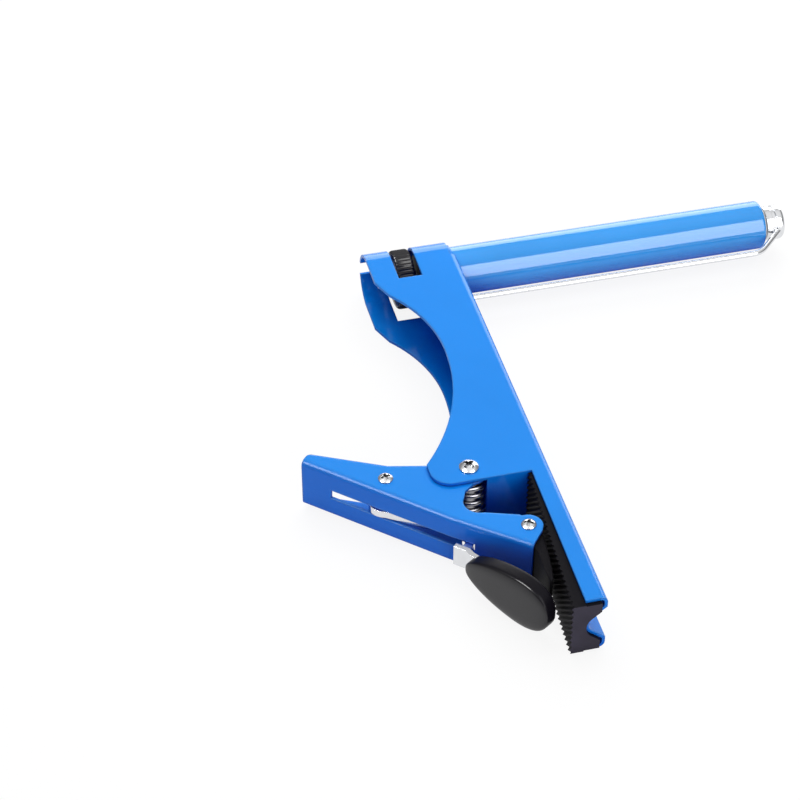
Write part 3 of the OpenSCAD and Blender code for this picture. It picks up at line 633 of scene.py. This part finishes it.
class CLAMP_OT_post(bpy.types.Operator):
    """Post tube, its end ring, the cap, the net rod and the parts inside the tube."""

    bl_idname = "clamp.post"
    bl_label = "Post"

    def execute(self, context):
        finish = context.scene.clamp_finish
        centre = (0.0, POST_Y, MID_Z)
        low, high = node_box("post_tube")
        radius, wall, lip = (high[2] - low[2]) / 2, 1.2 * MM, 1.3 * MM
        profile = np.vstack([
            [[low[0], radius - wall], [low[0], radius]],
            arc_points((high[0] - lip, radius - lip), lip, 90, 0, 10),
            [[high[0], radius - wall]]])
        tube = closed_turn(profile, 128, "x", centre)
        paint = enamel("post_enamel", finish, gloss=0.92, coat_ior=1.7, tint=1.2)
        make_piece("post_tube_painted", *tube, paint, "frame", "blue_paint", ["post_tube"], angle=40)
        dress("post_end_ring", pale_plastic("guide_plastic"))
        self.cap(finish, centre)
        self.rod(finish)
        dress("lift_screw", oiled_steel("lift_steel", (0.30, 0.30, 0.31)))
        black = moulded("guide_black", finish, 0.4, 0.0)
        for node in ("post_lower_guide", "rod_bush"):
            dress(node, black)
        return {"FINISHED"}

    def cap(self, finish, centre):
        """Cap: a turned profile with a rounded nose and a groove for the cord."""
        low, high = node_box("top_cap")
        radius, dome, chamfer = (high[2] - low[2]) / 2, 1.9 * MM, 0.4 * MM
        groove_at, groove_width, groove, flank = 3.2 * MM, 1.3 * MM, 0.7 * MM, 0.3 * MM
        g0 = low[0] + groove_at
        g1 = g0 + groove_width
        profile = np.vstack([
            [[low[0], 0], [low[0], radius - chamfer], [low[0] + chamfer, radius], [g0 - flank, radius]],
            [[g0, radius - groove], [g1, radius - groove], [g1 + flank, radius]],
            arc_points((high[0] - dome, radius - dome), dome, 90, 0, 10),
            [[high[0], 0]]])
        cap = turned(profile, 96, "x", centre)
        chrome = bright_metal("cap_chrome", finish, 0.10, stretch=(1.0, 0.1, 0.1))
        make_piece("top_cap_turned", *cap, chrome, "post_head", "chrome", ["top_cap"], angle=35)

    def rod(self, finish):
        """Net rod: straight run, smooth bend of one radius, slanted end that enters the cap."""
        low, high = node_box("net_rod")
        radius = (high[2] - low[2]) / 2
        rod_y = low[1] + radius
        bend, before_cap, slope = 9 * MM, 10.9 * MM, math.radians(45)
        end_in = 0.7 * radius
        cap_low, _ = node_box("top_cap")
        bend_x = cap_low[0] - before_cap
        a = np.linspace(0, slope, 14)
        curve = np.stack([bend_x + bend * np.sin(a), rod_y + bend * (1 - np.cos(a))], 1)
        start = np.stack([np.linspace(low[0], bend_x, 12)[:-1], np.full(11, rod_y)], 1)
        rise = (high[1] - end_in) - curve[-1, 1]
        t = np.linspace(0, rise, 5)[1:]
        end = curve[-1] + np.stack([t / math.tan(slope), t], 1)
        flat = np.vstack([start, curve, end])
        path = np.column_stack([flat, np.full(len(flat), MID_Z)])
        chrome = bright_metal("rod_chrome", finish, 0.12, stretch=(0.1, 1, 1))
        make_piece("net_rod_bent", *swept_tube(path, radius, 20), chrome, "post_head", "chrome", ["net_rod"],
                   angle=50)


class CLAMP_OT_wheel(bpy.types.Operator):
    """Knurled thumbwheel and its brass insert."""

    bl_idname = "clamp.wheel"
    bl_label = "Thumbwheel"

    def execute(self, context):
        finish, sizes = context.scene.clamp_finish, context.scene.clamp_sizes
        low, high = node_box("thumbwheel")
        _, insert = node_box("wheel_insert")
        bore = insert[2] - MID_Z
        radius, depth, shoulder, step = high[2] - MID_Z, 0.55 * MM, 1.6 * MM, 2.2 * MM
        fade_below, fade_over, crest = 1.4 * MM, 1.0 * MM, 0.7
        segments = sizes.wheel_ridges * 10
        side = np.vstack([
            [[low[0], bore], [low[0], radius - step]],
            arc_points((low[0] + shoulder, radius - shoulder), shoulder, 180, 90, 6),
            [[WHEEL[0], radius]],
            arc_points((high[0] - shoulder, radius - shoulder), shoulder, 90, 0, 6),
            [[high[0], radius - step], [high[0], bore]]])
        points, faces = closed_turn(side, segments, "x", (0, 0, 0))
        points = points.reshape(len(side), segments, 3)
        turn = np.linspace(0, 2 * np.pi, segments, endpoint=False)
        valley = (0.5 - 0.5 * np.cos(sizes.wheel_ridges * turn)) ** crest
        share = np.clip((side[:, 1] - (radius - fade_below)) / fade_over, 0, 1)
        cut = 1 - depth / radius * share[:, None] * valley[None, :]
        points[..., 1:] *= cut[..., None]
        points = points.reshape(-1, 3) + np.array([0, POST_Y, MID_Z])
        black = moulded("wheel_black", finish, 0.30, 0.8)
        make_piece("thumbwheel_knurled", points, faces, black, "wheel", "black_plastic", ["thumbwheel"],
                   angle=35)
        dress("wheel_insert", turned_brass("insert_brass"))
        return {"FINISHED"}


class CLAMP_OT_jaws(bpy.types.Operator):
    """Ribbed fixed pad and the rounded moving pad."""

    bl_idname = "clamp.jaws"
    bl_label = "Jaw pads"

    def execute(self, context):
        finish, sizes = context.scene.clamp_finish, context.scene.clamp_sizes
        self.fixed_pad(rubber("pad_rubber", finish, lit_end=JAW_END), sizes)
        self.moving_pad(rubber("shoe_rubber", finish))
        return {"FINISHED"}

    def fixed_pad(self, material, sizes):
        """Fixed pad: a wedge whose face is a plane less a wave of slanted ribs.

        Depth below the face = rib depth times a folded wave of (along - across) / (root two times the pitch).
        """
        low, high = node_box("fixed_jaw_pad")
        _, body_high = node_box("body_shell")
        spine = body_high[0]
        rows, lip_rows, stem_rows = 300, 5, 84
        thin_end, face_in, least = 9.2 * MM, 0.05 * MM, 0.2 * MM
        step, inset = 1.3 * MM, 2.5 * MM
        arm_in, arm_slant = 7.45 * MM, 0.9 * MM
        groove_r, groove_in, flare = 5.7 * MM, 2.2 * MM, math.radians(40)
        rim_width, rim_drop, sharp, flat = 0.5 * MM, 0.25 * MM, 1.25, 0.1
        along = np.linspace(0, 1, rows)
        y = high[1] + (low[1] - high[1]) * along
        top = spine - thin_end
        face = top + (low[0] + face_in - top) * along
        far_step = 2 * MID_Z - step
        z = np.concatenate([np.linspace(low[2], step, lip_rows), np.linspace(step, far_step, stem_rows),
                            np.linspace(far_step, high[2], lip_rows)])
        inner = np.concatenate([np.zeros(lip_rows), np.ones(stem_rows), np.zeros(lip_rows)])
        arm = spine - (arm_in + arm_slant * along)
        off = np.abs(z - MID_Z)
        round_floor = groove_in + np.sqrt(np.clip(groove_r ** 2 - off ** 2, 0, None))
        turn_off = groove_r * math.cos(flare)
        flank = groove_in + groove_r * math.sin(flare) - (off - turn_off) / math.tan(flare)
        stem = spine - np.maximum(inset, np.where(off < turn_off, round_floor, flank))
        back = np.where(inner[None, :] > 0, stem[None, :], arm[:, None])
        length = (high[1] - y)[:, None]
        wave = (length - z[None, :]) / math.sqrt(2) / sizes.rib_pitch
        fold = np.abs((wave % 1.0) * 2 - 1)
        fold = np.clip(fold * sharp - flat, 0, 1)
        rim = np.clip(np.minimum(z - low[2], high[2] - z) / rim_width, 0, 1)
        front = face[:, None] + sizes.rib_depth * fold + rim_drop * (1 - rim)[None, :] ** 2
        front = np.minimum(front, back - least)
        yy = np.repeat(y[:, None], len(z), 1)
        zz = np.repeat(z[None, :], rows, 0)
        sheet = np.stack([np.stack([front, yy, zz], -1), np.stack([back, yy, zz], -1)])
        columns = len(z)
        count = rows * columns
        quads = grid_faces(rows, columns, False)
        index = np.arange(count).reshape(rows, columns)
        rim_loop = np.concatenate([index[0, :-1], index[:-1, -1], index[-1, :0:-1], index[:0:-1, 0]])
        following = np.roll(rim_loop, -1)
        walls = np.stack([rim_loop, following, following + count, rim_loop + count], 1)
        faces = np.vstack([quads, quads[:, ::-1] + count, walls[:, ::-1]])
        obj = make_piece("fixed_jaw_pad_ribbed", sheet.reshape(-1, 3), faces, material, "frame",
                         "black_rubber", ["fixed_jaw_pad"], angle=35)
        turn_outwards(obj)

    def moving_pad(self, material):
        """Moving pad: its outline in the side plane carried across the jaw.

        The outline is given in millimetres from the jaw face's ends and middle and from the jaw screw. It is
        drawn in at both ends by a quarter round.
        """
        low, high = node_box("moving_jaw_pad")
        heel, middle, tip = ((high[0], y) for y in (high[1], (low[1] + high[1]) / 2, low[1]))
        screw = (JAW_SCREW[0], JAW_SCREW[1])
        corners = (
            (heel, -1.4, 0.0), (heel, -0.1, -8.0), (middle, -0.3, 0.0), (tip, -1.9, 5.0), (tip, -3.4, -2.4),
            (tip, -5.0, -0.6), (screw, 0.15, -9.3), (screw, -6.6, -2.4), (screw, -6.6, 3.6),
            (screw, -2.0, 7.0))
        shape = np.array([[base[0] + x * MM, base[1] + y * MM] for base, x, y in corners])
        outline = softened(shape, 3)
        centre = outline.mean(0)
        rim = 0.8 * MM
        a = np.linspace(0, np.pi / 2, 6)
        z = np.concatenate([low[2] + rim * (1 - np.cos(a)), high[2] - rim * (1 - np.cos(a[::-1]))])
        inset = np.concatenate([rim * (1 - np.sin(a)), rim * (1 - np.sin(a[::-1]))])
        away = outline - centre
        away /= np.linalg.norm(away, axis=1, keepdims=True)
        rings = outline[None] - inset[:, None, None] * away[None]
        points = np.concatenate([rings, np.broadcast_to(z[:, None, None], (*rings.shape[:2], 1))], -1)
        faces = grid_faces(len(z), len(outline), True).tolist()
        last = (len(z) - 1) * len(outline)
        faces.append(list(range(len(outline)))[::-1])
        faces.append(list(range(last, last + len(outline))))
        obj = make_piece("moving_jaw_pad_moulded", points, faces, material, "jaw_shoe", "black_rubber",
                         ["moving_jaw_pad"], angle=50)
        turn_outwards(obj)


class CLAMP_OT_spring(bpy.types.Operator):
    """Torsion spring round the pivot."""

    bl_idname = "clamp.spring"
    bl_label = "Torsion spring"

    def execute(self, context):
        sizes, finish = context.scene.clamp_sizes, context.scene.clamp_finish
        low, high = node_box("torsion_spring")
        radius = sizes.coil_radius
        turns, past, coil_steps, leg_steps = 4, 30, 260, 24
        sweep = math.radians(360 * turns + past)
        z0 = high[2] - sizes.wire_radius
        z1 = z0 - sizes.coil_pitch * sweep / (2 * math.pi)
        a = np.linspace(0, sweep, coil_steps)
        x, y = PIVOT[0] + radius * np.sin(a), PIVOT[1] - radius * np.cos(a)
        coil = np.stack([x, y, z0 + (z1 - z0) * a / sweep], 1)
        leg = np.linspace(low[0], coil[0, 0], leg_steps)[:-1]
        start = np.stack([leg, np.full(len(leg), coil[0, 1]), np.full(len(leg), z0)], 1)
        way = np.array([math.cos(sweep), math.sin(sweep)])
        reach = (high[0] - sizes.wire_radius * 0.6 - coil[-1, 0]) / way[0]
        t = np.linspace(0, reach, leg_steps)[1:]
        end = np.column_stack([coil[-1, 0] + t * way[0], coil[-1, 1] + t * way[1], np.full(len(t), z1)])
        path = np.vstack([start, coil, end])
        points, faces = swept_tube(path, sizes.wire_radius, 16)
        steel = oiled_steel("spring_steel", finish.spring_steel, 0.12)
        obj = make_piece("torsion_spring_wire", points, faces, steel, None, "steel", ["torsion_spring"],
                         angle=50)
        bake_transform(obj)
        return {"FINISHED"}


class CLAMP_OT_grip(bpy.types.Operator):
    """Lock lever's blade and its egg-shaped grip.

    The grip is a row of rounded oblongs along a slanted line. Their size follows a bell curve, times a slow
    growth of the width towards the far end.
    """

    bl_idname = "clamp.grip"
    bl_label = "Lock lever and grip"

    def execute(self, context):
        sizes, finish = context.scene.clamp_sizes, context.scene.clamp_finish
        dress("lock_lever", bright_metal("blade_chrome", finish, 0.12, stretch=(1.0, 0.15, 1.0)))
        slope, from_pivot = math.radians(56.7), np.array([-8.5, -36.5]) * MM
        lift, behind = 0.5 * MM, 1.9 * MM
        blunt, edge, power = 2.3, 0.25, 2 / 6
        narrow, growth, slack = 0.55, 0.62, 0.12
        ahead = np.array([math.cos(slope), -math.sin(slope), 0])
        inwards = np.array([math.sin(slope), math.cos(slope), 0])
        start = np.array([*(PIVOT[:2] + from_pivot), MID_Z + lift])
        rows, columns = 72, 96
        u = np.linspace(0, 1, rows)
        along = sizes.grip_length * (1 - np.cos(np.pi * u)) / 2
        share = along / sizes.grip_length
        bell = np.clip(1 - np.abs(2 * share - 1) ** blunt, 0, 1) ** (1 / blunt)
        half_width = sizes.grip_width / 2 * bell * (narrow + growth * share - slack * share ** 2)
        half_thick = sizes.grip_thickness / 2 * bell ** edge
        v = np.linspace(0, 2 * np.pi, columns, endpoint=False)
        across = np.sign(np.cos(v)) * np.abs(np.cos(v)) ** power
        deep = np.sign(np.sin(v)) * np.abs(np.sin(v)) ** power
        outwards = sizes.grip_thickness / 2 - behind + half_thick[:, None] * deep
        points = (start + along[:, None, None] * ahead - outwards[..., None] * inwards
                  + (half_width[:, None] * across)[..., None] * np.array(UP))
        faces = grid_faces(rows, columns, True)
        black = moulded("grip_black", finish, 0.30, 0.55, face=-inwards)
        obj = make_piece("lock_grip_egg", points, faces, black, "lock", "black_plastic", ["lock_grip"])
        turn_outwards(obj, join_poles=True)
        return {"FINISHED"}


class CLAMP_OT_screws(bpy.types.Operator):
    """Pan-head screws with a cross recess, their nuts, sleeves and the pivot bush."""

    bl_idname = "clamp.screws"
    bl_label = "Screws"

    def execute(self, context):
        finish = context.scene.clamp_finish
        # The screw chrome has painted shade in its cross recesses.
        chrome = bright_metal("screw_chrome", finish, 0.16, recess=2.0 * MM)
        steel = oiled_steel("sleeve_steel", (0.33, 0.33, 0.34))
        self.screws("pivot_screw", ((PIVOT, 35),), 7.4 * MM, "frame", chrome)
        self.screws("cross_screws", ((REAR_SCREW, 10), (JAW_SCREW, 62)), 5.6 * MM, "lever", chrome)
        for node in ("cross_nuts", "pivot_nut"):
            dress(node, chrome)
        for node in ("pivot_bush", "cross_sleeves"):
            dress(node, steel)
        return {"FINISHED"}

    def screws(self, node, places, head_d, body, material):
        """Puts the screws of one node, each at its place and turn, into one piece."""
        low, high = node_box(node)
        points, faces = [], []
        for place, turn in places:
            more, quads = self.screw(place, head_d / 2, low[2], high[2], turn)
            faces += [[i + len(points) * len(more) for i in quad] for quad in quads]
            points.append(more)
        obj = make_piece(node + "_pan_head", np.vstack(points), faces, material, body, "chrome", [node],
                         angle=40)
        turn_outwards(obj, join_poles=True)

    def screw(self, place, head_r, z0, z1, turn):
        """Screw: a turned shank and domed head, whose top is lowered inside a cross of two rounded bars.

        Head height = dome height times (1 - share of the radius to the power of the dome) above a short rim.
        """
        dome_power, segments = 2.4, 120
        head_h = 0.56 * head_r
        seat = z1 - head_h
        shank = head_r * 0.62
        rim, foot, foot_h = 0.30 * head_h, 0.96 * head_r, 0.06 * head_h
        bar, reach, soft = 0.17 * head_r, 0.60 * head_r, 0.05 * head_r
        recess = 0.75 * head_h
        s = np.linspace(1, 0, 40)
        dome = np.column_stack([seat + rim + (head_h - rim) * (1 - s ** dome_power), head_r * s])
        below = [[z0, 0], [z0, shank], [seat, shank], [seat, foot], [seat + foot_h, head_r]]
        profile = np.vstack([below, dome])
        points, faces = turned(profile, segments, "z", (place[0], place[1], 0))
        points = points.reshape(len(profile), segments, 3)
        local = points[..., :2] - place[:2]
        a = math.radians(turn)
        p = local[..., 0] * math.cos(a) + local[..., 1] * math.sin(a)
        q = -local[..., 0] * math.sin(a) + local[..., 1] * math.cos(a)

        def within(offset, half):
            return np.clip((half - np.abs(offset)) / soft + 0.5, 0, 1)

        cross = np.maximum(within(p, bar) * within(q, reach), within(q, bar) * within(p, reach))
        top = np.arange(len(profile)) >= len(below)
        points[..., 2] -= np.where(top[:, None], cross * recess, 0)
        return points.reshape(-1, 3), faces


class CLAMP_PT_panel(bpy.types.Panel):
    """Lists the clamp's pieces in the sidebar."""

    bl_idname = "CLAMP_PT_panel"
    bl_label = "Net clamp"
    bl_space_type = "VIEW_3D"
    bl_region_type = "UI"
    bl_category = "Net clamp"

    def draw(self, context):
        for cls in PIECES:
            self.layout.operator(cls.bl_idname)
        for group in ("clamp_finish", "clamp_sizes", "clamp_stage"):
            box = self.layout.box()
            values = getattr(context.scene, group)
            for key in values.__annotations__:
                box.prop(values, key)


PIECES = (CLAMP_OT_stage, CLAMP_OT_sheet, CLAMP_OT_post, CLAMP_OT_wheel, CLAMP_OT_jaws, CLAMP_OT_spring,
          CLAMP_OT_grip, CLAMP_OT_screws)
GROUPS = {"clamp_finish": ClampFinish, "clamp_sizes": ClampSizes, "clamp_stage": ClampStage}


def register():
    for cls in (*GROUPS.values(), *PIECES, CLAMP_PT_panel):
        bpy.utils.register_class(cls)
    for name, cls in GROUPS.items():
        setattr(bpy.types.Scene, name, bpy.props.PointerProperty(type=cls))


def unregister():
    for name in GROUPS:
        delattr(bpy.types.Scene, name)
    for cls in reversed((*GROUPS.values(), *PIECES, CLAMP_PT_panel)):
        bpy.utils.unregister_class(cls)


def main():
    register()
    for step in ("stage", "sheet", "post", "wheel", "jaws", "spring", "grip", "screws"):
        getattr(bpy.ops.clamp, step)()


if __name__ == "__main__":
    main()
